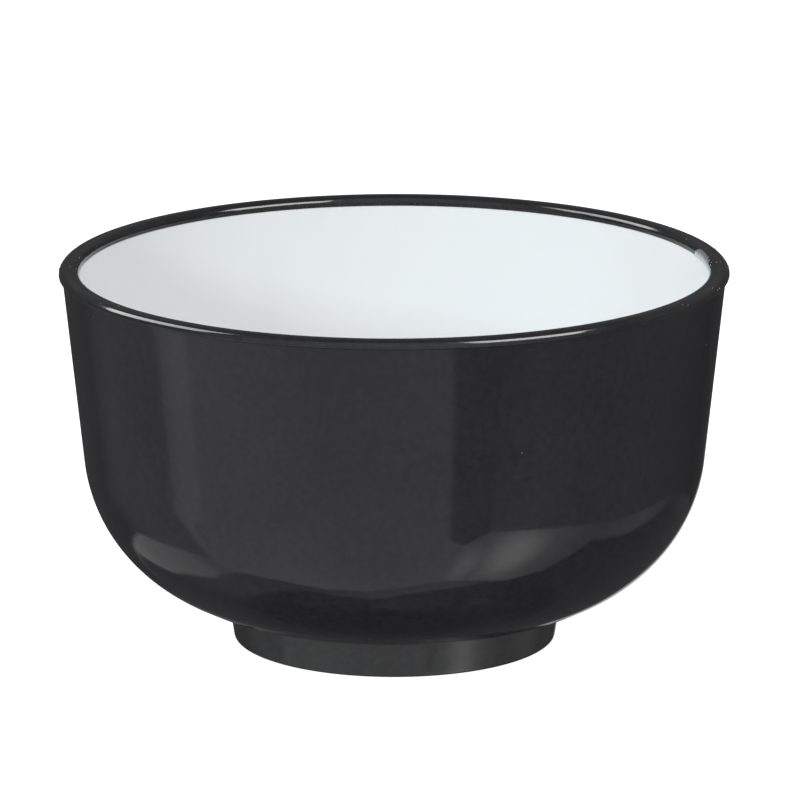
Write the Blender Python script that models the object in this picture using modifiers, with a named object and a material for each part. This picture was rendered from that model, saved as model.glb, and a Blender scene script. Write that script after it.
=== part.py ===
"""Hair colour mixing bowl: a glossy black outer shell, a white liner nested in it, a bead rim that caps
both wall edges, and a black foot ring pressed over a spigot under the shell.

Metres, +Z up. The origin is on the bowl's axis, in the plane that the foot stands on. Every piece is
turned round the Z axis, and pieces that touch keep JOINT_GAP between their faces.
"""

import math

import bpy

MM = 0.001
JOINT_GAP = 0.3 * MM
TURN_STEPS = 64

# Overall size
RIM_RADIUS = 65.0 * MM
BOWL_HEIGHT = 74.5 * MM

# Body: the outer face of the shell, an outline of base, cone and drafted wall with rounded corners
WALL_TOP_RADIUS = 64.35 * MM
WALL_DRAFT = math.radians(6.0)
BASE_HEIGHT = 7.8 * MM
BASE_RADIUS = 37.3 * MM
BASE_SLOPE = math.radians(27.0)
BASE_ROUNDING = 14.0 * MM
CORNER_ROUNDING = 32.0 * MM
SHELL_WALL = 1.5 * MM
LINER_WALL = 1.4 * MM

# Rim: a bead that overhangs the wall, with a groove that takes the shell's tongue
BEAD_HEIGHT = 1.7 * MM
CROWN_WIDTH = 2.0 * MM
CROWN_DROP = 1.45 * MM
BEAD_EDGE_ROUNDING = 0.15 * MM
RIM_INNER_RADIUS = 61.0 * MM
CROWN_INNER_WIDTH = RIM_RADIUS - RIM_INNER_RADIUS - CROWN_WIDTH
CROWN_INNER_DROP = 1.5 * MM
LIP_HEIGHT = 2.0 * MM
TONGUE_WIDTH = 0.85 * MM
GROOVE_DEPTH = 0.8 * MM

# Foot: a tapered ring, and the spigot inside it
FOOT_RADIUS = 31.5 * MM
FOOT_DRAFT = math.radians(9.0)
FOOT_EDGE_ROUNDING = 0.5 * MM
SPIGOT_OUTER_RADIUS = 27.8 * MM
SPIGOT_WALL = 1.5 * MM
SPIGOT_BOTTOM = 2.0 * MM
GATE_RADIUS = 4.0 * MM
GATE_DEPTH = 0.4 * MM

SEAM_HEIGHT = BOWL_HEIGHT - BEAD_HEIGHT
LIP_BOTTOM = BOWL_HEIGHT - LIP_HEIGHT
GROOVE_TOP = SEAM_HEIGHT + GROOVE_DEPTH
LINER_OUTER_DEPTH = SHELL_WALL + JOINT_GAP
LINER_INNER_DEPTH = LINER_OUTER_DEPTH + LINER_WALL

GLOSS_BLACK = (0.012, 0.012, 0.014, 1.0)
RIM_BLACK = (0.014, 0.014, 0.016, 1.0)
FOOT_BLACK = (0.022, 0.022, 0.024, 1.0)
LINER_WHITE = (0.80, 0.83, 0.84, 1.0)


def clear_scene():
    """Remove every object that the scene starts with."""
    for item in list(bpy.data.objects):
        bpy.data.objects.remove(item, do_unlink=True)


def collection_in_scene(name):
    """Return a new collection linked to the scene."""
    group = bpy.data.collections.new(name)
    bpy.context.scene.collection.children.link(group)
    return group


def plastic(name, color, roughness):
    """Return a Principled material for a moulded, non-metallic piece."""
    material = bpy.data.materials.new(name)
    material.use_nodes = True
    shader = material.node_tree.nodes["Principled BSDF"]
    shader.inputs["Base Color"].default_value = color
    shader.inputs["Roughness"].default_value = roughness
    shader.inputs["Metallic"].default_value = 0.0
    return material


def arc(center, radii, start, end, steps):
    """Return (radius, height) points of an elliptical arc; angles are in degrees, 0 is outwards, 90 is up."""
    points = []
    for step in range(steps + 1):
        angle = math.radians(start + (end - start) * step / steps)
        points.append((center[0] + radii[0] * math.cos(angle), center[1] + radii[1] * math.sin(angle)))
    return points


def wall_radius(height, depth):
    """Return the radius of the wall surface that lies `depth` inside the outer face, at a height."""
    outer = WALL_TOP_RADIUS - (SEAM_HEIGHT - height) * math.tan(WALL_DRAFT)
    return outer - depth / math.cos(WALL_DRAFT)


def corner_center():
    """Return the centre of the large rounding between the base cone and the drafted wall."""
    rise = BASE_HEIGHT - SEAM_HEIGHT
    run = WALL_TOP_RADIUS - BASE_RADIUS
    along_cone = (run + rise * math.tan(WALL_DRAFT)) / (
        math.cos(BASE_SLOPE) - math.sin(BASE_SLOPE) * math.tan(WALL_DRAFT)
    )
    sharp_radius = BASE_RADIUS + along_cone * math.cos(BASE_SLOPE)
    sharp_height = BASE_HEIGHT + along_cone * math.sin(BASE_SLOPE)
    turn = math.pi / 2 - WALL_DRAFT - BASE_SLOPE
    tangent = CORNER_ROUNDING * math.tan(turn / 2)
    radius = sharp_radius + tangent * math.sin(WALL_DRAFT) - CORNER_ROUNDING * math.cos(WALL_DRAFT)
    height = sharp_height + tangent * math.cos(WALL_DRAFT) + CORNER_ROUNDING * math.sin(WALL_DRAFT)
    return radius, height


def body_path(depth, top):
    """Return the body outline `depth` inside the outer face, from the axis out and up to a height."""
    base_center = (BASE_RADIUS - BASE_ROUNDING * math.tan(BASE_SLOPE / 2), BASE_HEIGHT + BASE_ROUNDING)
    slope = math.degrees(BASE_SLOPE)
    draft = math.degrees(WALL_DRAFT)
    base_radius = BASE_ROUNDING - depth
    corner_radius = CORNER_ROUNDING - depth
    path = [(0.0, BASE_HEIGHT + depth)]
    path += arc(base_center, (base_radius, base_radius), -90.0, slope - 90.0, 3)
    path += arc(corner_center(), (corner_radius, corner_radius), slope - 90.0, -draft, 9)
    path.append((wall_radius(top, depth), top))
    return path


def turned(name, profile, closed, material, group):
    """Turn a (radius, height) profile round Z into one closed solid and return its object."""
    mesh = bpy.data.meshes.new(name)
    edges = [(index, index + 1) for index in range(len(profile) - 1)]
    if closed:
        edges.append((len(profile) - 1, 0))
    mesh.from_pydata([(radius, 0.0, height) for radius, height in profile], edges, [])
    piece = bpy.data.objects.new(name, mesh)
    piece.data.materials.append(material)
    group.objects.link(piece)
    screw = piece.modifiers.new("turn", "SCREW")
    screw.axis = "Z"
    screw.angle = math.tau
    screw.steps = TURN_STEPS
    screw.render_steps = TURN_STEPS
    screw.use_merge_vertices = True
    screw.merge_threshold = 0.00001
    screw.use_smooth_shade = True
    return piece


def add_outer_shell(group):
    """Black moulding: body wall, base, the tongue that enters the rim, and the spigot for the foot."""
    shoulder = SEAM_HEIGHT - JOINT_GAP
    tongue_top = GROOVE_TOP - JOINT_GAP
    tongue_inner = wall_radius(tongue_top, SHELL_WALL)
    tongue_outer = wall_radius(shoulder, SHELL_WALL) + TONGUE_WIDTH
    profile = body_path(SHELL_WALL, shoulder)
    profile += [(tongue_inner, tongue_top), (tongue_outer, tongue_top), (tongue_outer, shoulder)]
    outer_face = body_path(0.0, shoulder)
    outer_face.reverse()
    profile += outer_face[:-1]
    spigot_inner = SPIGOT_OUTER_RADIUS - SPIGOT_WALL
    profile += [(SPIGOT_OUTER_RADIUS, BASE_HEIGHT), (SPIGOT_OUTER_RADIUS, SPIGOT_BOTTOM)]
    profile += [(spigot_inner, SPIGOT_BOTTOM), (spigot_inner, BASE_HEIGHT)]
    profile += [(GATE_RADIUS, BASE_HEIGHT), (GATE_RADIUS, BASE_HEIGHT + GATE_DEPTH)]
    profile.append((0.0, BASE_HEIGHT + GATE_DEPTH))
    return turned("outer_shell", profile, False, plastic("gloss_black", GLOSS_BLACK, 0.16), group)


def add_inner_liner(group):
    """White moulding nested in the shell: it holds the dye and stops under the rim's lip."""
    top = LIP_BOTTOM - JOINT_GAP
    profile = body_path(LINER_INNER_DEPTH, top)
    outer_face = body_path(LINER_OUTER_DEPTH, top)
    outer_face.reverse()
    profile += outer_face
    return turned("inner_liner", profile, False, plastic("liner_white", LINER_WHITE, 0.3), group)


def add_rim_ring(group):
    """Black bead: rounded crown, short lip inside, and a groove over the shell's tongue."""
    crown_center = (RIM_RADIUS - CROWN_WIDTH, BOWL_HEIGHT - CROWN_DROP)
    edge_center = (RIM_RADIUS - BEAD_EDGE_ROUNDING, SEAM_HEIGHT + BEAD_EDGE_ROUNDING)
    inner_center = (crown_center[0], BOWL_HEIGHT - CROWN_INNER_DROP)
    edge = (BEAD_EDGE_ROUNDING, BEAD_EDGE_ROUNDING)
    lip_outer = wall_radius(LIP_BOTTOM, SHELL_WALL) - JOINT_GAP
    groove_outer = wall_radius(SEAM_HEIGHT, SHELL_WALL) + TONGUE_WIDTH + JOINT_GAP
    profile = arc(crown_center, (CROWN_WIDTH, CROWN_DROP), 90.0, 0.0, 6)
    profile += arc(edge_center, edge, 0.0, -90.0, 2)
    profile += [(groove_outer, SEAM_HEIGHT), (groove_outer, GROOVE_TOP)]
    profile += [(lip_outer, GROOVE_TOP), (lip_outer, LIP_BOTTOM), (RIM_INNER_RADIUS, LIP_BOTTOM)]
    profile += arc(inner_center, (CROWN_INNER_WIDTH, CROWN_INNER_DROP), 180.0, 90.0, 6)[:-1]
    return turned("rim_ring", profile, True, plastic("rim_black", RIM_BLACK, 0.2), group)


def add_foot_ring(group):
    """Black ring that the bowl stands on, tapered outside and pressed over the shell's spigot."""
    top = BASE_HEIGHT - JOINT_GAP
    bore = SPIGOT_OUTER_RADIUS + JOINT_GAP
    edge_center = (FOOT_RADIUS - FOOT_EDGE_ROUNDING, FOOT_EDGE_ROUNDING)
    draft = math.degrees(FOOT_DRAFT)
    edge = arc(edge_center, (FOOT_EDGE_ROUNDING, FOOT_EDGE_ROUNDING), -draft, -90.0, 4)
    top_radius = edge[0][0] + (top - edge[0][1]) * math.tan(FOOT_DRAFT)
    profile = [(bore, top), (top_radius, top)] + edge + [(bore, 0.0)]
    return turned("foot_ring", profile, True, plastic("foot_black", FOOT_BLACK, 0.4), group)


def build():
    """Build the four pieces of the bowl."""
    clear_scene()
    group = collection_in_scene("hair_color_bowl")
    add_outer_shell(group)
    add_inner_liner(group)
    add_rim_ring(group)
    add_foot_ring(group)


build()
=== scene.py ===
"""Looks of the hair color bowl: fine turned surfaces, moulding marks, materials, studio light and camera.

Everything is in metres in the CAD frame: +Z up, origin on the axis in the plane that the foot stands on.
Angles round the bowl are in degrees, anticlockwise from +X seen from above; the camera is on the -Y side.
"""

import math
import random

import bmesh
import bpy
from mathutils import Matrix, Vector, noise


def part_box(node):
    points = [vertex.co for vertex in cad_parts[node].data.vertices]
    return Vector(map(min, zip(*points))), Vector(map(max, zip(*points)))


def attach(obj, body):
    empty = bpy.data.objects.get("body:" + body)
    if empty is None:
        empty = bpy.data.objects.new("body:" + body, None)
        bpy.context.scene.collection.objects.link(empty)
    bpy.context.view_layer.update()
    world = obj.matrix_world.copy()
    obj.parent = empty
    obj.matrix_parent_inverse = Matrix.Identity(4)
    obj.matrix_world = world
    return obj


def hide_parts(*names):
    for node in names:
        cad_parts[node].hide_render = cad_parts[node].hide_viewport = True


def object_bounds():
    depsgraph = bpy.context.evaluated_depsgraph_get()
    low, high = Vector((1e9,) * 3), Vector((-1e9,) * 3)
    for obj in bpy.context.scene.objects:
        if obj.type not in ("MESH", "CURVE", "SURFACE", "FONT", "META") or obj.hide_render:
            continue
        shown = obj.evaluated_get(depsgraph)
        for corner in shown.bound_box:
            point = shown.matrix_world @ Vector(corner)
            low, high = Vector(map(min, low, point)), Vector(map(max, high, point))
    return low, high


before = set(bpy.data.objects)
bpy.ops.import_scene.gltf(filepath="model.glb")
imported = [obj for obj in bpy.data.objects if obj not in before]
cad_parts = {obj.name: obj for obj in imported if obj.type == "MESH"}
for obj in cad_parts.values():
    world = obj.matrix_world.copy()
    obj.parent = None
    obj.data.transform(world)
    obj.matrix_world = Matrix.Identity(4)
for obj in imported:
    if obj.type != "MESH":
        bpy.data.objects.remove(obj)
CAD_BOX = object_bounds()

MM = 0.001

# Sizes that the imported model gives
RIM_LOW, RIM_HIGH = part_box("rim_ring")
FOOT_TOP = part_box("foot_ring")[1][2]
JOINT_GAP = 0.3 * MM
RIM_RADIUS = RIM_HIGH[0]
BOWL_HEIGHT = RIM_HIGH[2]
LIP_BOTTOM = RIM_LOW[2]
BASE_HEIGHT = FOOT_TOP + JOINT_GAP

# The body's outline, as the CAD draws it
WALL_TOP_RADIUS = 64.35 * MM
WALL_DRAFT = math.radians(6.0)
BASE_RADIUS = 37.3 * MM
BASE_SLOPE = math.radians(27.0)
BASE_ROUNDING = 14.0 * MM
CORNER_ROUNDING = 32.0 * MM
SHELL_WALL = 1.5 * MM
LINER_WALL = 1.4 * MM
BEAD_HEIGHT = 1.7 * MM
CROWN_WIDTH = 2.0 * MM
CROWN_DROP = 1.45 * MM
BEAD_EDGE_ROUNDING = 0.15 * MM
RIM_INNER_RADIUS = 61.0 * MM
CROWN_INNER_WIDTH = RIM_RADIUS - RIM_INNER_RADIUS - CROWN_WIDTH
CROWN_INNER_DROP = 1.5 * MM
TONGUE_WIDTH = 0.85 * MM
GROOVE_DEPTH = 0.8 * MM
FOOT_RADIUS = 31.5 * MM
FOOT_DRAFT = math.radians(9.0)
FOOT_EDGE_ROUNDING = 0.5 * MM
SPIGOT_OUTER_RADIUS = 27.8 * MM
SPIGOT_WALL = 1.5 * MM
SPIGOT_BOTTOM = 2.0 * MM
GATE_RADIUS = 4.0 * MM
GATE_DEPTH = 0.4 * MM
SEAM_HEIGHT = BOWL_HEIGHT - BEAD_HEIGHT
LINER_OUTER_DEPTH = SHELL_WALL + JOINT_GAP
LINER_INNER_DEPTH = LINER_OUTER_DEPTH + LINER_WALL

# Fine finish of the turned pieces
SEGMENTS = 288
SHARP_ANGLE = math.radians(35.0)
HAIRLINE = 0.06 * MM
EDGE_BREAK = 0.2 * MM
FINE_CHAMFER = 0.1 * MM
NUB_RADIUS = 1.2 * MM
NUB_TIP_RADIUS = 0.96 * MM
NUB_HEIGHT = 0.25 * MM
BEAD_WAVE = 0.03 * MM
RAGGED_EDGE = 0.05 * MM
RAGGED_REACH = 0.5 * MM
FOOT_SIDE_STEPS = 9

# Dust on the rim: how many grains, round which angles they lie, and how large they are
DUST_GRAINS = 26
DUST_PLACES = (186.0, 205.0, 350.0, 10.0)
DUST_SPREAD = 11.0
DUST_SIZES = (0.05 * MM, 0.10 * MM)

# White film on the rim's inner face, between two angles
FLASH_START = 2.0
FLASH_END = 14.8
FLASH_RISE = 1.9 * MM
FLASH_THICK = 0.12 * MM
FLASH_SUNK = 0.02 * MM
FLASH_TOP = BOWL_HEIGHT - 0.4 * MM
FLASH_STEPS = 60
FLASH_LEVELS = 4

# Trimming burrs on the rim: angle round the bowl, place across the bead, size and flatness
BURRS = (
    (283.2, 0.10, 0.30 * MM, 0.8),
    (287.6, 0.12, 0.26 * MM, 0.9),
    (289.0, 0.08, 0.20 * MM, 0.7),
    (310.5, 0.12, 0.22 * MM, 0.8),
    (180.5, 0.96, 0.45 * MM, 0.9),
    (184.0, 0.99, 0.40 * MM, 0.8),
    (187.5, 0.97, 0.35 * MM, 1.0),
    (176.5, 0.97, 0.30 * MM, 0.8),
    (1.5, 0.95, 0.35 * MM, 0.8),
    (14.0, 0.92, 0.28 * MM, 0.7),
    (121.0, 0.04, 0.22 * MM, 0.8),
    (128.0, 0.05, 0.20 * MM, 0.8),
)


# ---------------------------------------------------------------- turned shapes


def arc(center, radii, start, end, steps):
    """Points of an elliptical arc as (radius, height); angles in degrees, 0 outwards and 90 up."""
    points = []
    for step in range(steps + 1):
        angle = math.radians(start + (end - start) * step / steps)
        points.append((center[0] + radii[0] * math.cos(angle), center[1] + radii[1] * math.sin(angle)))
    return points


def wall_radius(height, depth):
    """Radius of the wall surface that lies `depth` inside the outer face, at a height."""
    outer = WALL_TOP_RADIUS - (SEAM_HEIGHT - height) * math.tan(WALL_DRAFT)
    return outer - depth / math.cos(WALL_DRAFT)


def corner_center():
    """Centre of the large rounding between the base cone and the drafted wall."""
    rise = BASE_HEIGHT - SEAM_HEIGHT
    run = WALL_TOP_RADIUS - BASE_RADIUS
    lean = math.cos(BASE_SLOPE) - math.sin(BASE_SLOPE) * math.tan(WALL_DRAFT)
    along_cone = (run + rise * math.tan(WALL_DRAFT)) / lean
    turn = math.pi / 2 - WALL_DRAFT - BASE_SLOPE
    tangent = CORNER_ROUNDING * math.tan(turn / 2)
    radius = BASE_RADIUS + along_cone * math.cos(BASE_SLOPE)
    height = BASE_HEIGHT + along_cone * math.sin(BASE_SLOPE)
    radius += tangent * math.sin(WALL_DRAFT) - CORNER_ROUNDING * math.cos(WALL_DRAFT)
    height += tangent * math.cos(WALL_DRAFT) + CORNER_ROUNDING * math.sin(WALL_DRAFT)
    return radius, height


def body_path(depth, top, fineness=1):
    """Body outline `depth` inside the outer face, from the axis out and up; `fineness` adds points."""
    base_center = (BASE_RADIUS - BASE_ROUNDING * math.tan(BASE_SLOPE / 2), BASE_HEIGHT + BASE_ROUNDING)
    slope = math.degrees(BASE_SLOPE)
    draft = math.degrees(WALL_DRAFT)
    base_radius = BASE_ROUNDING - depth
    corner_radius = CORNER_ROUNDING - depth
    path = [(0.0, BASE_HEIGHT + depth)]
    for step in range(1, 2 * fineness):
        path.append((base_center[0] * step / (2 * fineness), BASE_HEIGHT + depth))
    path += arc(base_center, (base_radius, base_radius), -90.0, slope - 90.0, 4 * fineness)
    path += arc(corner_center(), (corner_radius, corner_radius), slope - 90.0, -draft, 12 * fineness)
    bottom = path[-1][1]
    for step in range(1, 4 * fineness + 1):
        height = bottom + (top - bottom) * step / (4 * fineness)
        path.append((wall_radius(height, depth), height))
    return path


def turned(name, profile, closed, reshape=None):
    """Turn a (radius, height) profile round Z; `reshape` may move a point at an angle a little."""
    mesh = bpy.data.meshes.new(name)
    turned_mesh = bmesh.new()
    rings = []
    for radius, height in profile:
        if radius == 0.0:
            rings.append([turned_mesh.verts.new((0.0, 0.0, height))] * SEGMENTS)
            continue
        ring = []
        for step in range(SEGMENTS):
            angle = math.tau * step / SEGMENTS
            r, z = reshape(radius, height, math.degrees(angle)) if reshape else (radius, height)
            ring.append(turned_mesh.verts.new((r * math.cos(angle), r * math.sin(angle), z)))
        rings.append(ring)
    pairs = list(zip(rings, rings[1:] + ([rings[0]] if closed else [])))
    for upper, lower in pairs:
        for step in range(SEGMENTS):
            after = (step + 1) % SEGMENTS
            corners = [upper[step], lower[step], lower[after], upper[after]]
            turned_mesh.faces.new(list(dict.fromkeys(corners)))
    bmesh.ops.recalc_face_normals(turned_mesh, faces=turned_mesh.faces[:])
    turned_mesh.to_mesh(mesh)
    turned_mesh.free()
    mesh.shade_smooth()
    mesh.set_sharp_from_angle(angle=SHARP_ANGLE)
    piece = bpy.data.objects.new(name, mesh)
    bpy.context.scene.collection.objects.link(piece)
    return piece


def stand_for(piece, node, material):
    """Give a piece its material, let it ride on the bowl and take the place of a CAD node."""
    piece.data.materials.append(material)
    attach(piece, "root")
    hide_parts(node)


def make_shell(material):
    """Black outer moulding, up to a hairline under the bead, with spigot, gate recess and gate nub."""
    shoulder = SEAM_HEIGHT - HAIRLINE
    tongue_top = SEAM_HEIGHT + GROOVE_DEPTH - JOINT_GAP
    tongue_inner = wall_radius(tongue_top, SHELL_WALL)
    tongue_outer = wall_radius(shoulder, SHELL_WALL) + TONGUE_WIDTH
    outer_face = body_path(0.0, shoulder - EDGE_BREAK, 4)
    top_radius = wall_radius(shoulder, 0.0)
    edge = arc((top_radius - EDGE_BREAK, shoulder - EDGE_BREAK), (EDGE_BREAK, EDGE_BREAK), 90.0, 0.0, 4)
    spigot_inner = SPIGOT_OUTER_RADIUS - SPIGOT_WALL
    recess = BASE_HEIGHT + GATE_DEPTH
    profile = body_path(SHELL_WALL, shoulder)
    profile += [(tongue_inner, tongue_top), (tongue_outer, tongue_top), (tongue_outer, shoulder)]
    profile += edge[:-1]
    profile += [point for point in reversed(outer_face) if point[0] > SPIGOT_OUTER_RADIUS]
    profile += [(SPIGOT_OUTER_RADIUS, BASE_HEIGHT), (SPIGOT_OUTER_RADIUS, SPIGOT_BOTTOM)]
    profile += [(spigot_inner, SPIGOT_BOTTOM), (spigot_inner, BASE_HEIGHT)]
    profile += [(GATE_RADIUS, BASE_HEIGHT), (GATE_RADIUS, recess)]
    profile += [(NUB_RADIUS, recess), (NUB_TIP_RADIUS, recess - NUB_HEIGHT), (0.0, recess - NUB_HEIGHT)]
    stand_for(turned("shell_moulding", profile, False), "outer_shell", material)


def make_liner(material):
    """White moulding nested in the shell, up to a hairline under the rim's lip."""
    top = LIP_BOTTOM - HAIRLINE
    profile = body_path(LINER_INNER_DEPTH, top, 4)
    profile += reversed(body_path(LINER_OUTER_DEPTH, top))
    stand_for(turned("liner_moulding", profile, False), "inner_liner", material)


def rim_wear(radius, height, angle):
    """Uneven bead: a slow wave all round, and a rougher inner edge."""
    spot = Vector((math.cos(math.radians(angle)), math.sin(math.radians(angle)), 0.0))
    slow = noise.noise(spot * 3.0)
    quick = noise.noise(spot * 60.0 + Vector((0.0, 0.0, radius / MM)))
    inner = max(0.0, 1.0 - abs(radius - RIM_INNER_RADIUS) / RAGGED_REACH)
    radius += inner * quick * RAGGED_EDGE
    height += slow * BEAD_WAVE * (1.0 if height > SEAM_HEIGHT else 0.0)
    return radius, height


def make_rim(material):
    """Black bead with an elliptical crown, a short inner lip and a groove over the shell's tongue."""
    crown_top = BOWL_HEIGHT - BEAD_WAVE
    crown_center = (RIM_RADIUS - CROWN_WIDTH, crown_top - CROWN_DROP)
    edge_center = (RIM_RADIUS - BEAD_EDGE_ROUNDING, SEAM_HEIGHT + BEAD_EDGE_ROUNDING)
    inner_center = (crown_center[0], crown_top - CROWN_INNER_DROP)
    edge = (BEAD_EDGE_ROUNDING, BEAD_EDGE_ROUNDING)
    lip_outer = wall_radius(LIP_BOTTOM, SHELL_WALL) - JOINT_GAP
    groove_outer = wall_radius(SEAM_HEIGHT, SHELL_WALL) + TONGUE_WIDTH + JOINT_GAP
    groove_top = SEAM_HEIGHT + GROOVE_DEPTH
    profile = arc(crown_center, (CROWN_WIDTH, CROWN_DROP), 90.0, 0.0, 24)
    profile += arc(edge_center, edge, 0.0, -90.0, 4)
    profile += [(groove_outer, SEAM_HEIGHT), (groove_outer, groove_top)]
    profile += [(lip_outer, groove_top), (lip_outer, LIP_BOTTOM)]
    profile += [(RIM_INNER_RADIUS + FINE_CHAMFER, LIP_BOTTOM), (RIM_INNER_RADIUS, LIP_BOTTOM + FINE_CHAMFER)]
    profile += arc(inner_center, (CROWN_INNER_WIDTH, CROWN_INNER_DROP), 180.0, 90.0, 20)[:-1]
    stand_for(turned("rim_bead", profile, True, rim_wear), "rim_ring", material)


def make_foot(material):
    """Black foot ring, tapered outside, its lower edge rounded, pressed over the spigot."""
    top = BASE_HEIGHT - HAIRLINE
    bore = SPIGOT_OUTER_RADIUS + HAIRLINE
    draft = math.degrees(FOOT_DRAFT)
    center = (FOOT_RADIUS - FOOT_EDGE_ROUNDING, FOOT_EDGE_ROUNDING)
    edge = arc(center, (FOOT_EDGE_ROUNDING, FOOT_EDGE_ROUNDING), -draft, -90.0, 8)
    top_radius = edge[0][0] + (top - edge[0][1]) * math.tan(FOOT_DRAFT)
    side = []
    for step in range(1, FOOT_SIDE_STEPS):
        share = step / FOOT_SIDE_STEPS
        side.append((top_radius + (edge[0][0] - top_radius) * share, top + (edge[0][1] - top) * share))
    profile = [(bore, top), (top_radius - FINE_CHAMFER, top), (top_radius, top - FINE_CHAMFER)] + side + edge
    profile += [(bore + EDGE_BREAK, 0.0), (bore, EDGE_BREAK)]
    stand_for(turned("foot_moulding", profile, True), "foot_ring", material)


def add_crumb(cluster, spot, size, flatness, seed):
    """Add a ragged burr or grain at an (angle, radius, height), kept inside the rim's own limits."""
    angle, radius, height = spot
    made = bmesh.ops.create_icosphere(cluster, subdivisions=3, radius=1.0)["verts"]
    for vertex in made:
        rough = 1.0 + 0.45 * noise.noise(vertex.co * 1.7 + Vector((seed, seed, 0.0)))
        rough += 0.15 * noise.noise(vertex.co * 5.0 - Vector((seed, 0.0, seed)))
        vertex.co = Vector((vertex.co.x * 1.3, vertex.co.y, vertex.co.z * flatness)) * (rough * size)
    turn = Matrix.Rotation(math.radians(angle), 4, "Z")
    at = Matrix.Translation(Vector((radius, 0.0, height)))
    spin = Matrix.Rotation(seed * 1.7, 4, "X") @ Matrix.Rotation(math.radians(90.0), 4, "Z")
    bmesh.ops.transform(cluster, matrix=turn @ at @ spin, verts=made)
    for vertex in made:
        reach = math.hypot(vertex.co.x, vertex.co.y)
        if reach > RIM_RADIUS:
            vertex.co.x *= RIM_RADIUS / reach
            vertex.co.y *= RIM_RADIUS / reach
        vertex.co.z = min(vertex.co.z, BOWL_HEIGHT)


def finish_piece(name, cluster, material):
    """Turn a working mesh into a piece that rides on the bowl."""
    mesh = bpy.data.meshes.new(name)
    cluster.to_mesh(mesh)
    cluster.free()
    mesh.shade_smooth()
    piece = bpy.data.objects.new(name, mesh)
    bpy.context.scene.collection.objects.link(piece)
    piece.data.materials.append(material)
    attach(piece, "root")


def bead_point(share):
    """Radius and height on the bead's crown: 0 at its inner edge, 1 at its outer edge."""
    angle = math.radians(180.0 * (1.0 - share))
    drop = CROWN_INNER_DROP if share < 0.5 else CROWN_DROP
    width = CROWN_INNER_WIDTH if share < 0.5 else CROWN_WIDTH
    radius = RIM_RADIUS - CROWN_WIDTH + width * math.cos(angle)
    return radius, BOWL_HEIGHT - drop + drop * math.sin(angle)


def make_burrs(rim_material, dust_material):
    """Trimming burrs along the rim and a few dust grains caught on it."""
    burrs = bmesh.new()
    for number, (angle, share, size, flatness) in enumerate(BURRS):
        radius, height = bead_point(share)
        add_crumb(burrs, (angle, radius, height - size * 0.2), size, flatness, number + 1.0)
    finish_piece("rim_burrs", burrs, rim_material)
    dust = bmesh.new()
    draw = random.Random(7)
    for number in range(DUST_GRAINS):
        center = draw.choice(DUST_PLACES)
        angle = center + draw.gauss(0.0, DUST_SPREAD)
        radius, height = bead_point(draw.uniform(0.15, 0.97))
        size = draw.uniform(*DUST_SIZES)
        add_crumb(dust, (angle, radius, height), size, 0.7, number + 30.0)
    finish_piece("rim_dust", dust, dust_material)


def flash_column(share):
    """Face and back points of the film at a share of its length, from its foot up to its ragged top."""
    angle = math.radians(FLASH_START + (FLASH_END - FLASH_START) * share)
    ragged = 0.9 + 0.4 * noise.noise(Vector((share * 6.0, 3.0, 0.0)))
    ragged += 0.25 * noise.noise(Vector((share * 31.0, 5.0, 0.0)))
    blunt = math.sqrt(min(1.0, share * 5.0, (1.0 - share) * 14.0))
    rise = min(FLASH_RISE * blunt * max(0.15, ragged), FLASH_TOP - LIP_BOTTOM)
    face = []
    back = []
    for level in range(FLASH_LEVELS + 1):
        up = level / FLASH_LEVELS
        height = LIP_BOTTOM - HAIRLINE + (rise + HAIRLINE) * up
        over = max(0.0, height - (BOWL_HEIGHT - CROWN_INNER_DROP)) / CROWN_INNER_DROP
        surface = RIM_INNER_RADIUS + CROWN_INNER_WIDTH * (1.0 - math.sqrt(max(0.0, 1.0 - over * over)))
        thick = FLASH_THICK * (1.0 - 0.8 * up)
        for points, radius in ((face, surface - thick), (back, surface + FLASH_SUNK)):
            points.append((radius * math.cos(angle), radius * math.sin(angle), height))
    return face, back


def make_flash(material):
    """A ragged film of white plastic that crept up the rim's inner face, closed at its edges and ends."""
    film = bmesh.new()
    columns = [flash_column(step / FLASH_STEPS) for step in range(FLASH_STEPS + 1)]
    front = [[film.verts.new(point) for point in face] for face, back in columns]
    back = [[film.verts.new(point) for point in back] for face, back in columns]
    for step in range(FLASH_STEPS):
        after = step + 1
        for level in range(FLASH_LEVELS):
            for side in (front, back):
                quad = (side[step][level], side[after][level], side[after][level + 1], side[step][level + 1])
                film.faces.new(quad)
        for level in (0, FLASH_LEVELS):
            film.faces.new((front[step][level], front[after][level], back[after][level], back[step][level]))
    for step in (0, FLASH_STEPS):
        for level in range(FLASH_LEVELS):
            up = level + 1
            film.faces.new((front[step][level], front[step][up], back[step][up], back[step][level]))
    bmesh.ops.recalc_face_normals(film, faces=film.faces[:])
    finish_piece("liner_flash", film, material)


# ---------------------------------------------------------------- shader nodes


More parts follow.
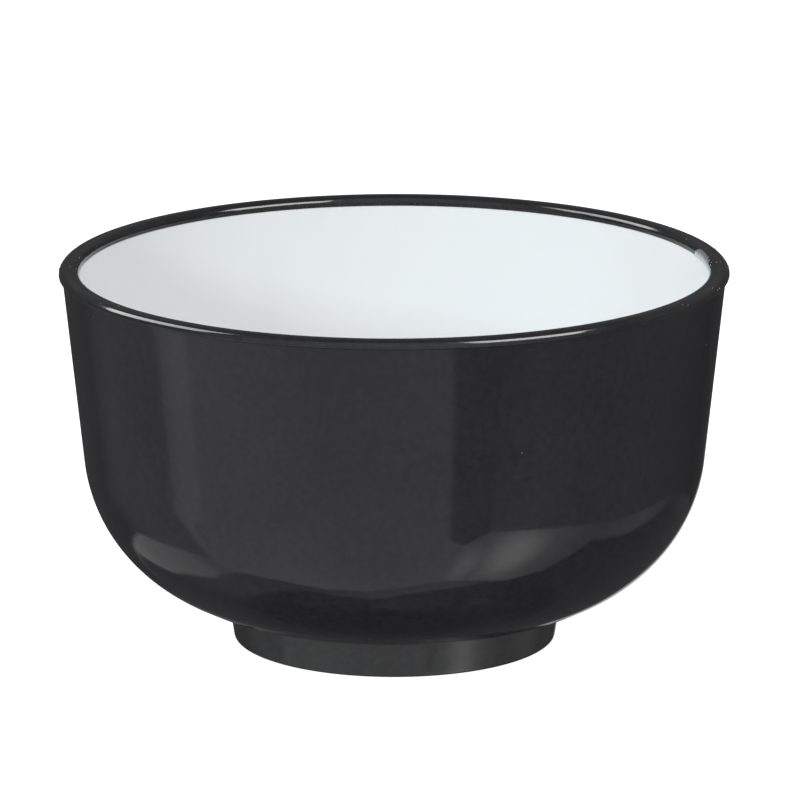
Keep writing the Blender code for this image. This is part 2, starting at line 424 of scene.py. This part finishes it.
class Nodes:
    """Short calls that add nodes to a node tree and join them."""

    def __init__(self, tree):
        self.tree = tree

    def add(self, kind, **settings):
        """Add a node and set its properties."""
        item = self.tree.nodes.new(kind)
        for key, value in settings.items():
            setattr(item, key, value)
        return item

    def put(self, socket, value):
        """Link an output to a socket, or set the socket's own value."""
        if isinstance(value, bpy.types.NodeSocket):
            self.tree.links.new(value, socket)
        else:
            socket.default_value = value

    def math(self, operation, *values):
        """A Math node's result."""
        item = self.add("ShaderNodeMath", operation=operation)
        for socket, value in zip(item.inputs, values):
            self.put(socket, value)
        return item.outputs[0]

    def remap(self, value, low, high, to_low=0.0, to_high=1.0):
        """A smooth step from to_low to to_high as the value goes from low to high."""
        item = self.add("ShaderNodeMapRange", interpolation_type="SMOOTHSTEP")
        names = ("Value", "From Min", "From Max", "To Min", "To Max")
        for name, entry in zip(names, (value, low, high, to_low, to_high)):
            self.put(item.inputs[name], entry)
        return item.outputs[0]

    def window(self, value, low, high, soft):
        """1 between low and high, falling to 0 over `soft` at both ends."""
        rise = self.remap(value, low - soft, low + soft)
        fall = self.remap(value, high - soft, high + soft, 1.0, 0.0)
        return self.math("MULTIPLY", rise, fall)

    def curve(self, value, points, across, up):
        """A value read from a line through (x, y) points that spans `across` and lies within `up`."""
        item = self.add("ShaderNodeFloatCurve")
        line = item.mapping.curves[0]
        while len(line.points) < len(points):
            line.points.new(0.5, 0.5)
        for dot, (x, y) in zip(line.points, points):
            dot.location = ((x - across[0]) / (across[1] - across[0]), (y - up[0]) / (up[1] - up[0]))
            dot.handle_type = "VECTOR"
        item.mapping.update()
        share = self.math("DIVIDE", self.math("SUBTRACT", value, across[0]), across[1] - across[0])
        self.put(item.inputs["Value"], share)
        return self.math("ADD", self.math("MULTIPLY", item.outputs[0], up[1] - up[0]), up[0])

    def step(self, value, edge, soft):
        """0 below an edge and 1 above it, softly."""
        return self.remap(self.math("SUBTRACT", value, edge), -soft, soft)

    def between(self, factor, first, second):
        """A number between two others."""
        item = self.add("ShaderNodeMix", data_type="FLOAT")
        self.put(item.inputs[0], factor)
        self.put(item.inputs[2], first)
        self.put(item.inputs[3], second)
        return item.outputs[0]

    def glow(self, across, up, center, reach, level):
        """A soft round patch of light of a peak level."""
        x = self.math("DIVIDE", self.math("SUBTRACT", across, center[0]), reach[0])
        y = self.math("DIVIDE", self.math("SUBTRACT", up, center[1]), reach[1])
        far = self.math("SQRT", self.math("ADD", self.math("MULTIPLY", x, x), self.math("MULTIPLY", y, y)))
        return self.remap(far, 0.1, 1.2, level, 0.0)

    def total(self, values):
        """The sum of several values."""
        result = values[0]
        for value in values[1:]:
            result = self.math("ADD", result, value)
        return result

    def blend(self, factor, first, second):
        """A colour between two others."""
        item = self.add("ShaderNodeMix", data_type="RGBA")
        self.put(item.inputs["Factor"], factor)
        self.put(item.inputs[6], first)
        self.put(item.inputs[7], second)
        return item.outputs[2]

    def noise(self, vector, scale, detail=3.0, roughness=0.5):
        """A noise value from 0 to 1, `scale` features per metre."""
        item = self.add("ShaderNodeTexNoise")
        self.put(item.inputs["Vector"], vector)
        self.put(item.inputs["Scale"], scale)
        self.put(item.inputs["Detail"], detail)
        self.put(item.inputs["Roughness"], roughness)
        return item.outputs["Fac"]

    def place(self):
        """Object coordinates in metres."""
        return self.add("ShaderNodeTexCoord").outputs["Object"]

    def round_bowl(self, turns, rise):
        """Coordinates that run round the bowl and up it, stretched by two factors."""
        split = self.add("ShaderNodeSeparateXYZ")
        self.put(split.inputs[0], self.place())
        x, y, z = split.outputs
        square = self.math("ADD", self.math("MULTIPLY", x, x), self.math("MULTIPLY", y, y))
        reach = self.math("SQRT", square)
        joined = self.add("ShaderNodeCombineXYZ")
        self.put(joined.inputs[0], self.math("MULTIPLY", self.math("DIVIDE", x, reach), turns))
        self.put(joined.inputs[1], self.math("MULTIPLY", self.math("DIVIDE", y, reach), turns))
        self.put(joined.inputs[2], self.math("MULTIPLY", self.math("ADD", z, reach), rise))
        return joined.outputs[0]

    def specks(self, scale, size, share):
        """1 on sparse small round specks, 0 elsewhere; `share` of the cells hold one."""
        cells = self.add("ShaderNodeTexVoronoi", feature="F1")
        self.put(cells.inputs["Vector"], self.place())
        self.put(cells.inputs["Scale"], scale)
        pick = self.add("ShaderNodeSeparateColor")
        self.put(pick.inputs[0], cells.outputs["Color"])
        chosen = self.math("LESS_THAN", pick.outputs[0], share)
        reach = self.math("MULTIPLY", pick.outputs[1], size * scale)
        near = self.math("LESS_THAN", cells.outputs["Distance"], reach)
        return self.math("MULTIPLY", chosen, near)

    def bump(self, height, strength, distance, normal=None):
        """A normal bent by a height."""
        item = self.add("ShaderNodeBump")
        self.put(item.inputs["Strength"], strength)
        self.put(item.inputs["Distance"], distance)
        self.put(item.inputs["Height"], height)
        if normal:
            self.put(item.inputs["Normal"], normal)
        return item.outputs[0]


# ---------------------------------------------------------------- materials

PLASTIC_IOR = 1.46

# Dark and light tones, as linear RGBA
SHELL_TONES = ((0.0068, 0.0062, 0.0077, 1.0), (0.0116, 0.0108, 0.0130, 1.0))
RIM_TONES = ((0.009, 0.009, 0.010, 1.0), (0.015, 0.015, 0.016, 1.0))
FOOT_TONES = ((0.013, 0.013, 0.014, 1.0), (0.020, 0.020, 0.021, 1.0))
SCRATCH_TONE = (0.035, 0.035, 0.037, 1.0)
BLACK_SPECK_TONE = (0.22, 0.22, 0.22, 1.0)
LINER_TONES = ((0.815, 0.824, 0.828, 1.0), (0.84, 0.85, 0.854, 1.0))
LINER_SPECK_TONE = (0.45, 0.45, 0.44, 1.0)
FILM_TONES = ((0.80, 0.82, 0.83, 1.0), (0.12, 0.12, 0.125, 1.0))
DUST_TONES = ((0.30, 0.30, 0.30, 1.0), (0.60, 0.60, 0.58, 1.0))
FLOOR_TONES = ((0.30, 0.30, 0.30, 1.0), (0.33, 0.33, 0.33, 1.0))

FLOOR_GLOW = 0.97


def new_material(name):
    """A material with a Principled shader, and the node helper and shader to work on."""
    material = bpy.data.materials.new(name)
    material.use_nodes = True
    shader = material.node_tree.nodes["Principled BSDF"]
    return material, Nodes(material.node_tree), shader


def moulded_black(name, tones, gloss, spread, lines):
    """Polished black plastic: mottled tone, rubbing lines, hairline scratches, ripple and dust.

    `gloss` is the least roughness, `spread` what handling adds to it, and `lines` how strong the lines are.
    """
    material, nodes, shader = new_material(name)
    drift = nodes.noise(nodes.place(), scale=45.0, detail=4.0)
    mottle = nodes.noise(nodes.place(), scale=700.0, detail=4.0, roughness=0.6)
    rubbing = nodes.noise(nodes.round_bowl(turns=1.5, rise=1400.0), scale=1.0, detail=2.0)
    hairlines = nodes.noise(nodes.round_bowl(turns=6.0, rise=5200.0), scale=1.0, detail=2.0)
    handling = nodes.noise(nodes.place(), scale=160.0, detail=5.0, roughness=0.65)
    ripple = nodes.noise(nodes.place(), scale=70.0, detail=1.0)
    dust = nodes.specks(scale=420.0, size=0.00012, share=0.03)
    cloud = nodes.math("ADD", nodes.math("MULTIPLY", drift, 0.4), nodes.math("MULTIPLY", mottle, 0.6))
    tone = nodes.blend(nodes.remap(cloud, 0.35, 0.65), *tones)
    scratched = nodes.remap(hairlines, 0.66, 0.80, 0.0, lines * 0.5)
    tone = nodes.blend(scratched, tone, SCRATCH_TONE)
    nodes.put(shader.inputs["Base Color"], nodes.blend(dust, tone, BLACK_SPECK_TONE))
    smear = nodes.remap(handling, 0.45, 0.75, 0.0, spread)
    streaks = nodes.remap(rubbing, 0.55, 0.85, 0.0, spread * lines)
    matt = nodes.math("MULTIPLY", dust, 0.4)
    nodes.put(shader.inputs["Roughness"], nodes.total([smear, streaks, matt, gloss]))
    normal = nodes.bump(ripple, strength=0.25, distance=0.00004)
    normal = nodes.bump(mottle, strength=0.2, distance=0.000003, normal=normal)
    normal = nodes.bump(rubbing, strength=0.12 * lines, distance=0.000004, normal=normal)
    normal = nodes.bump(dust, strength=0.5, distance=0.00005, normal=normal)
    nodes.put(shader.inputs["Normal"], normal)
    shader.inputs["IOR"].default_value = PLASTIC_IOR
    return material


def liner_white():
    """Cool white plastic with a soft gloss, faint flow marks and fine stirring scratches."""
    material, nodes, shader = new_material("liner_white_plastic")
    drift = nodes.noise(nodes.place(), scale=28.0, detail=3.0)
    stirring = nodes.noise(nodes.round_bowl(turns=2.2, rise=1800.0), scale=1.0, detail=2.0)
    handling = nodes.noise(nodes.place(), scale=120.0, detail=4.0, roughness=0.6)
    ripple = nodes.noise(nodes.place(), scale=55.0, detail=1.0)
    specks = nodes.specks(scale=260.0, size=0.00011, share=0.02)
    tone = nodes.blend(nodes.remap(drift, 0.3, 0.7), *LINER_TONES)
    nodes.put(shader.inputs["Base Color"], nodes.blend(specks, tone, LINER_SPECK_TONE))
    smear = nodes.remap(handling, 0.3, 0.8, 0.0, 0.05)
    scratches = nodes.remap(stirring, 0.55, 0.85, 0.0, 0.06)
    nodes.put(shader.inputs["Roughness"], nodes.total([smear, scratches, 0.32]))
    normal = nodes.bump(ripple, strength=0.2, distance=0.00005)
    normal = nodes.bump(stirring, strength=0.08, distance=0.000004, normal=normal)
    nodes.put(shader.inputs["Normal"], normal)
    shader.inputs["IOR"].default_value = PLASTIC_IOR
    return material


def flash_film():
    """Thin film of the liner's white plastic, thinning to grey as it climbs the black rim."""
    material, nodes, shader = new_material("flash_film")
    split = nodes.add("ShaderNodeSeparateXYZ")
    nodes.put(split.inputs[0], nodes.place())
    patches = nodes.noise(nodes.place(), scale=1600.0, detail=3.0)
    level = nodes.math("ADD", split.outputs[2], nodes.math("MULTIPLY", patches, 1.2 * MM))
    thin = nodes.remap(level, LIP_BOTTOM + 0.2 * MM, LIP_BOTTOM + 2.1 * MM)
    nodes.put(shader.inputs["Base Color"], nodes.blend(thin, *FILM_TONES))
    grain = nodes.noise(nodes.place(), scale=5000.0, detail=2.0)
    nodes.put(shader.inputs["Normal"], nodes.bump(grain, strength=0.3, distance=0.00002))
    shader.inputs["Roughness"].default_value = 0.45
    return material


def dust_grey():
    """Pale lint and plastic dust."""
    material, nodes, shader = new_material("dust_grey")
    grain = nodes.noise(nodes.place(), scale=9000.0, detail=2.0)
    nodes.put(shader.inputs["Base Color"], nodes.blend(grain, *DUST_TONES))
    shader.inputs["Roughness"].default_value = 0.8
    return material


def floor_white():
    """White floor with a glow that keeps shadows faint; it can be seen through from below."""
    material, nodes, shader = new_material("studio_floor")
    grain = nodes.noise(nodes.place(), scale=300.0, detail=2.0)
    nodes.put(shader.inputs["Base Color"], nodes.blend(grain, *FLOOR_TONES))
    shader.inputs["Roughness"].default_value = 0.9
    shader.inputs["Specular IOR Level"].default_value = 0.0
    shader.inputs["Emission Color"].default_value = (1.0, 1.0, 1.0, 1.0)
    shader.inputs["Emission Strength"].default_value = FLOOR_GLOW
    below = nodes.add("ShaderNodeNewGeometry").outputs["Backfacing"]
    mix = nodes.add("ShaderNodeMixShader")
    nodes.put(mix.inputs[0], below)
    nodes.put(mix.inputs[1], shader.outputs[0])
    nodes.put(mix.inputs[2], nodes.add("ShaderNodeBsdfTransparent").outputs[0])
    nodes.put(material.node_tree.nodes["Material Output"].inputs["Surface"], mix.outputs[0])
    return material


# ---------------------------------------------------------------- studio

CAMERA_TARGET = Vector((1.1 * MM, 0.0, 47.1 * MM))
CAMERA_DISTANCE = 1.3
CAMERA_ELEVATION = math.radians(14.01)
CAMERA_ROLL = math.radians(-0.06)
CAMERA_LENS = 300.2
SENSOR_WIDTH = 36.0
FLOOR_HALF_SIZE = 6.0
FLOOR_GAP = 0.02 * MM

# The studio as a mirror at the bowl sees it. A point's first number is its azimuth in degrees, 0 towards the
# camera and + to the camera's right. The second is an elevation in degrees, or a level of light.
AZIMUTHS = (-180.0, 180.0)
ELEVATIONS = (-90.0, 0.0)
LEVELS = (0.0, 1.2)

# Elevation down to which the lit table shows, and further down its dimmer margin
LIT_TABLE_ENDS = (
    (-180, -29), (-148, -31.5), (-136, -42), (-112, -51), (-86, -52.5), (-50, -67.5), (-24, -71), (0, -69.5),
    (28, -62), (66, -60), (80, -52), (88, -36), (108, -33), (130, -23), (180, -20),
)
TABLE_MARGIN_ENDS = (
    (-180, -50), (-96, -64), (-70, -66), (-50, -74), (-30, -78.5), (-10, -78), (20, -72.5), (60, -62),
    (180, -50),
)

# Elevation down to which panels and flags hide the table
FLAG_ENDS = (
    (-180, -30), (-128, -31), (-98, -42), (-88, -45), (-84, -26), (19.5, -27), (23, -31.5), (27, -34.8),
    (30, -33), (34, -28.5), (38, -27), (94, -27), (128, -20.5), (180, -20),
)

# Light of the panels and flags, of the table and of its margin
FLAG_LEVELS = (
    (-180, 0.15), (-168, 0.04), (-136, 0.09), (-120, 0.26), (-94, 0.38), (-91.5, 0.44), (-90, 0.64),
    (-85, 0.86), (-79, 0.93), (-77, 0.76), (-58, 0.77), (-20, 0.71), (20.1, 0.70), (21.4, 0.36), (37, 0.31),
    (39, 0.35), (54, 0.43), (80, 0.32), (98, 0.28), (130, 0.12), (148, 0.05), (180, 0.04),
)
TABLE_LEVELS = (
    (-180, 0.04), (-156, 0.12), (-144, 0.44), (-106, 0.64), (-96, 0.48), (-88, 0.64), (-54, 0.86), (0, 0.76),
    (24, 0.84), (66, 0.80), (84, 0.42), (112, 0.38), (130, 0.12), (180, 0.04),
)
MARGIN_LEVELS = (
    (-180, 0.05), (-136, 0.10), (-104, 0.28), (-72, 0.29), (-20, 0.46), (30, 0.52), (46, 0.46), (60, 0.18),
    (180, 0.05),
)


def make_camera():
    """Long-lens camera a little above the rim."""
    data = bpy.data.cameras.new("camera")
    data.lens = CAMERA_LENS
    data.sensor_width = SENSOR_WIDTH
    data.clip_start = 0.1
    data.clip_end = 50.0
    camera = bpy.data.objects.new("camera", data)
    bpy.context.scene.collection.objects.link(camera)
    back = Vector((0.0, -math.cos(CAMERA_ELEVATION), math.sin(CAMERA_ELEVATION)))
    camera.location = CAMERA_TARGET + back * CAMERA_DISTANCE
    aim = (-back).to_track_quat("-Z", "Y").to_matrix().to_4x4()
    camera.matrix_world = Matrix.Translation(camera.location) @ aim @ Matrix.Rotation(CAMERA_ROLL, 4, "Z")
    bpy.context.scene.camera = camera


def make_floor():
    """A large white floor; the bowl's gloss sees the world's studio in its place."""
    mesh = bpy.data.meshes.new("floor")
    sheet = bmesh.new()
    bmesh.ops.create_grid(sheet, x_segments=8, y_segments=8, size=FLOOR_HALF_SIZE)
    sheet.to_mesh(mesh)
    sheet.free()
    floor = bpy.data.objects.new("floor", mesh)
    floor.location.z = CAD_BOX[0][2] - FLOOR_GAP
    floor.data.materials.append(floor_white())
    floor.visible_glossy = False
    bpy.context.scene.collection.objects.link(floor)


def softbox(name, toward, along, distance, size, radiance):
    """A rectangular area light that faces the bowl; radiance is what a mirror would show."""
    data = bpy.data.lights.new(name, "AREA")
    data.shape = "RECTANGLE"
    data.size, data.size_y = size
    data.energy = radiance * math.pi * size[0] * size[1]
    light = bpy.data.objects.new(name, data)
    back = Vector(toward).normalized()
    side = Vector(along) - back * back.dot(Vector(along))
    side.normalize()
    up = back.cross(side)
    turn = Matrix((side, up, back)).transposed().to_4x4()
    light.matrix_world = Matrix.Translation(Vector((0.0, 0.0, BOWL_HEIGHT)) + back * distance) @ turn
    light.visible_camera = False
    bpy.context.scene.collection.objects.link(light)
    return light


def flag_light(nodes, azimuth, elevation):
    """Light of the panels and flags, whose upright edges lean a little."""
    height = nodes.math("MINIMUM", nodes.math("MAXIMUM", elevation, -26.0), -20.0)
    lean = nodes.math("MULTIPLY", nodes.math("ADD", height, 24.5), 0.7)
    return nodes.curve(nodes.math("ADD", azimuth, lean), FLAG_LEVELS, AZIMUTHS, LEVELS)


def table_light(nodes, azimuth, elevation):
    """Light of the table, with a bright patch and a smaller one beside it."""
    table = nodes.curve(azimuth, TABLE_LEVELS, AZIMUTHS, LEVELS)
    patch = nodes.glow(azimuth, elevation, center=(52.0, -41.0), reach=(15.0, 20.0), level=1.2)
    side_patch = nodes.glow(azimuth, elevation, center=(33.0, -49.0), reach=(7.0, 15.0), level=0.60)
    return nodes.total([table, patch, side_patch])


def low_light(nodes, azimuth, elevation, turn):
    """Light below the table's edge: its dim margin, then the bowl's own shadow."""
    margin_ends = nodes.curve(azimuth, TABLE_MARGIN_ENDS, AZIMUTHS, ELEVATIONS)
    margin = nodes.curve(azimuth, MARGIN_LEVELS, AZIMUTHS, LEVELS)
    shadow = nodes.math("ADD", nodes.math("MULTIPLY", turn, 0.07), 0.12)
    return nodes.between(nodes.step(elevation, margin_ends, 1.5), shadow, margin)


def sky_light(nodes, elevation, turn):
    """Light above the horizon: bright on the camera's side, dim behind, a little brighter high up."""
    front = nodes.remap(turn, 0.0, 1.0, 0.17, 0.70)
    behind = nodes.remap(turn, -0.9, -0.4, -0.09, 0.0)
    high = nodes.remap(elevation, 8.0, 25.0, 0.0, 0.1)
    return nodes.total([front, behind, high])


def studio_reflections(nodes, azimuth, elevation):
    """What the gloss sees: a lit table, panels and flags over it, the bowl's shadow under it, and the sky."""
    turn = nodes.math("COSINE", nodes.math("RADIANS", azimuth))
    flag_ends = nodes.curve(azimuth, FLAG_ENDS, AZIMUTHS, ELEVATIONS)
    lit_ends = nodes.curve(azimuth, LIT_TABLE_ENDS, AZIMUTHS, ELEVATIONS)
    table = table_light(nodes, azimuth, elevation)
    flags = flag_light(nodes, azimuth, elevation)
    upper = nodes.between(nodes.step(elevation, flag_ends, 0.8), table, flags)
    lower = low_light(nodes, azimuth, elevation, turn)
    seen = nodes.between(nodes.step(elevation, lit_ends, 1.3), lower, upper)
    sliver_across = nodes.window(azimuth, 168.0, 176.0, 1.5)
    sliver_up = nodes.window(elevation, -26.0, -16.0, 1.5)
    sliver = nodes.math("MULTIPLY", nodes.math("MULTIPLY", sliver_across, sliver_up), 0.6)
    streak = nodes.glow(azimuth, elevation, center=(94.0, -73.0), reach=(16.0, 3.0), level=0.08)
    below = nodes.total([seen, sliver, streak])
    return nodes.between(nodes.remap(elevation, -12.0, -1.0), below, sky_light(nodes, elevation, turn))


def make_world():
    """White to the camera, a soft dome for light, and the studio's reflections for gloss."""
    world = bpy.data.worlds.new("studio")
    world.use_nodes = True
    world.cycles.sampling_method = "NONE"
    bpy.context.scene.world = world
    nodes = Nodes(world.node_tree)
    split = nodes.add("ShaderNodeSeparateXYZ")
    nodes.put(split.inputs[0], nodes.add("ShaderNodeTexCoord").outputs["Generated"])
    x, y, z = split.outputs
    front = nodes.math("MULTIPLY", y, -1.0)
    azimuth = nodes.math("DEGREES", nodes.math("ARCTAN2", x, front))
    elevation = nodes.math("DEGREES", nodes.math("ARCSINE", z))
    gloss = studio_reflections(nodes, azimuth, elevation)
    overhead = nodes.remap(elevation, 0.0, 70.0, 0.54, 1.31)
    left_to_right = nodes.remap(x, -1.0, 1.0, 0.06, -0.06)
    back_to_front = nodes.remap(front, -1.0, 1.0, -0.05, 0.1)
    dome = nodes.total([overhead, left_to_right, back_to_front])
    path = nodes.add("ShaderNodeLightPath")
    level = nodes.between(path.outputs["Is Glossy Ray"], dome, gloss)
    level = nodes.between(path.outputs["Is Camera Ray"], level, 1.0)
    background = world.node_tree.nodes["Background"]
    background.inputs["Color"].default_value = (1.0, 1.0, 1.0, 1.0)
    nodes.put(background.inputs["Strength"], level)


def make_studio():
    """World, two softboxes overhead for the gloss, and a key light at the front left for the liner."""
    make_world()
    right = softbox(
        "softbox_right", toward=(0.55, -0.31, 0.775), along=(0.80, 0.55, -0.30),
        distance=0.9, size=(0.50, 0.44), radiance=12.0,
    )
    left = softbox(
        "softbox_left", toward=(-0.72, 0.25, 0.65), along=(0.25, -0.85, 0.45),
        distance=0.9, size=(0.60, 0.40), radiance=8.0,
    )
    right.visible_diffuse = False
    left.visible_diffuse = False
    key = softbox(
        "liner_key", toward=(-0.485, -0.840, 0.249), along=(0.87, -0.5, 0.0),
        distance=1.2, size=(0.16, 0.16), radiance=47.0,
    )
    key.data.color = (0.82, 1.0, 1.08)
    key.visible_glossy = False


# ---------------------------------------------------------------- build

bpy.context.scene.view_settings.view_transform = "Standard"
shell_black = moulded_black("shell_black_plastic", SHELL_TONES, gloss=0.055, spread=0.03, lines=0.5)
rim_black = moulded_black("rim_black_plastic", RIM_TONES, gloss=0.09, spread=0.07, lines=0.8)
foot_black = moulded_black("foot_black_plastic", FOOT_TONES, gloss=0.15, spread=0.10, lines=1.0)
make_shell(shell_black)
make_liner(liner_white())
make_rim(rim_black)
make_burrs(rim_black, dust_grey())
make_flash(flash_film())
make_foot(foot_black)
make_floor()
make_studio()
make_camera()
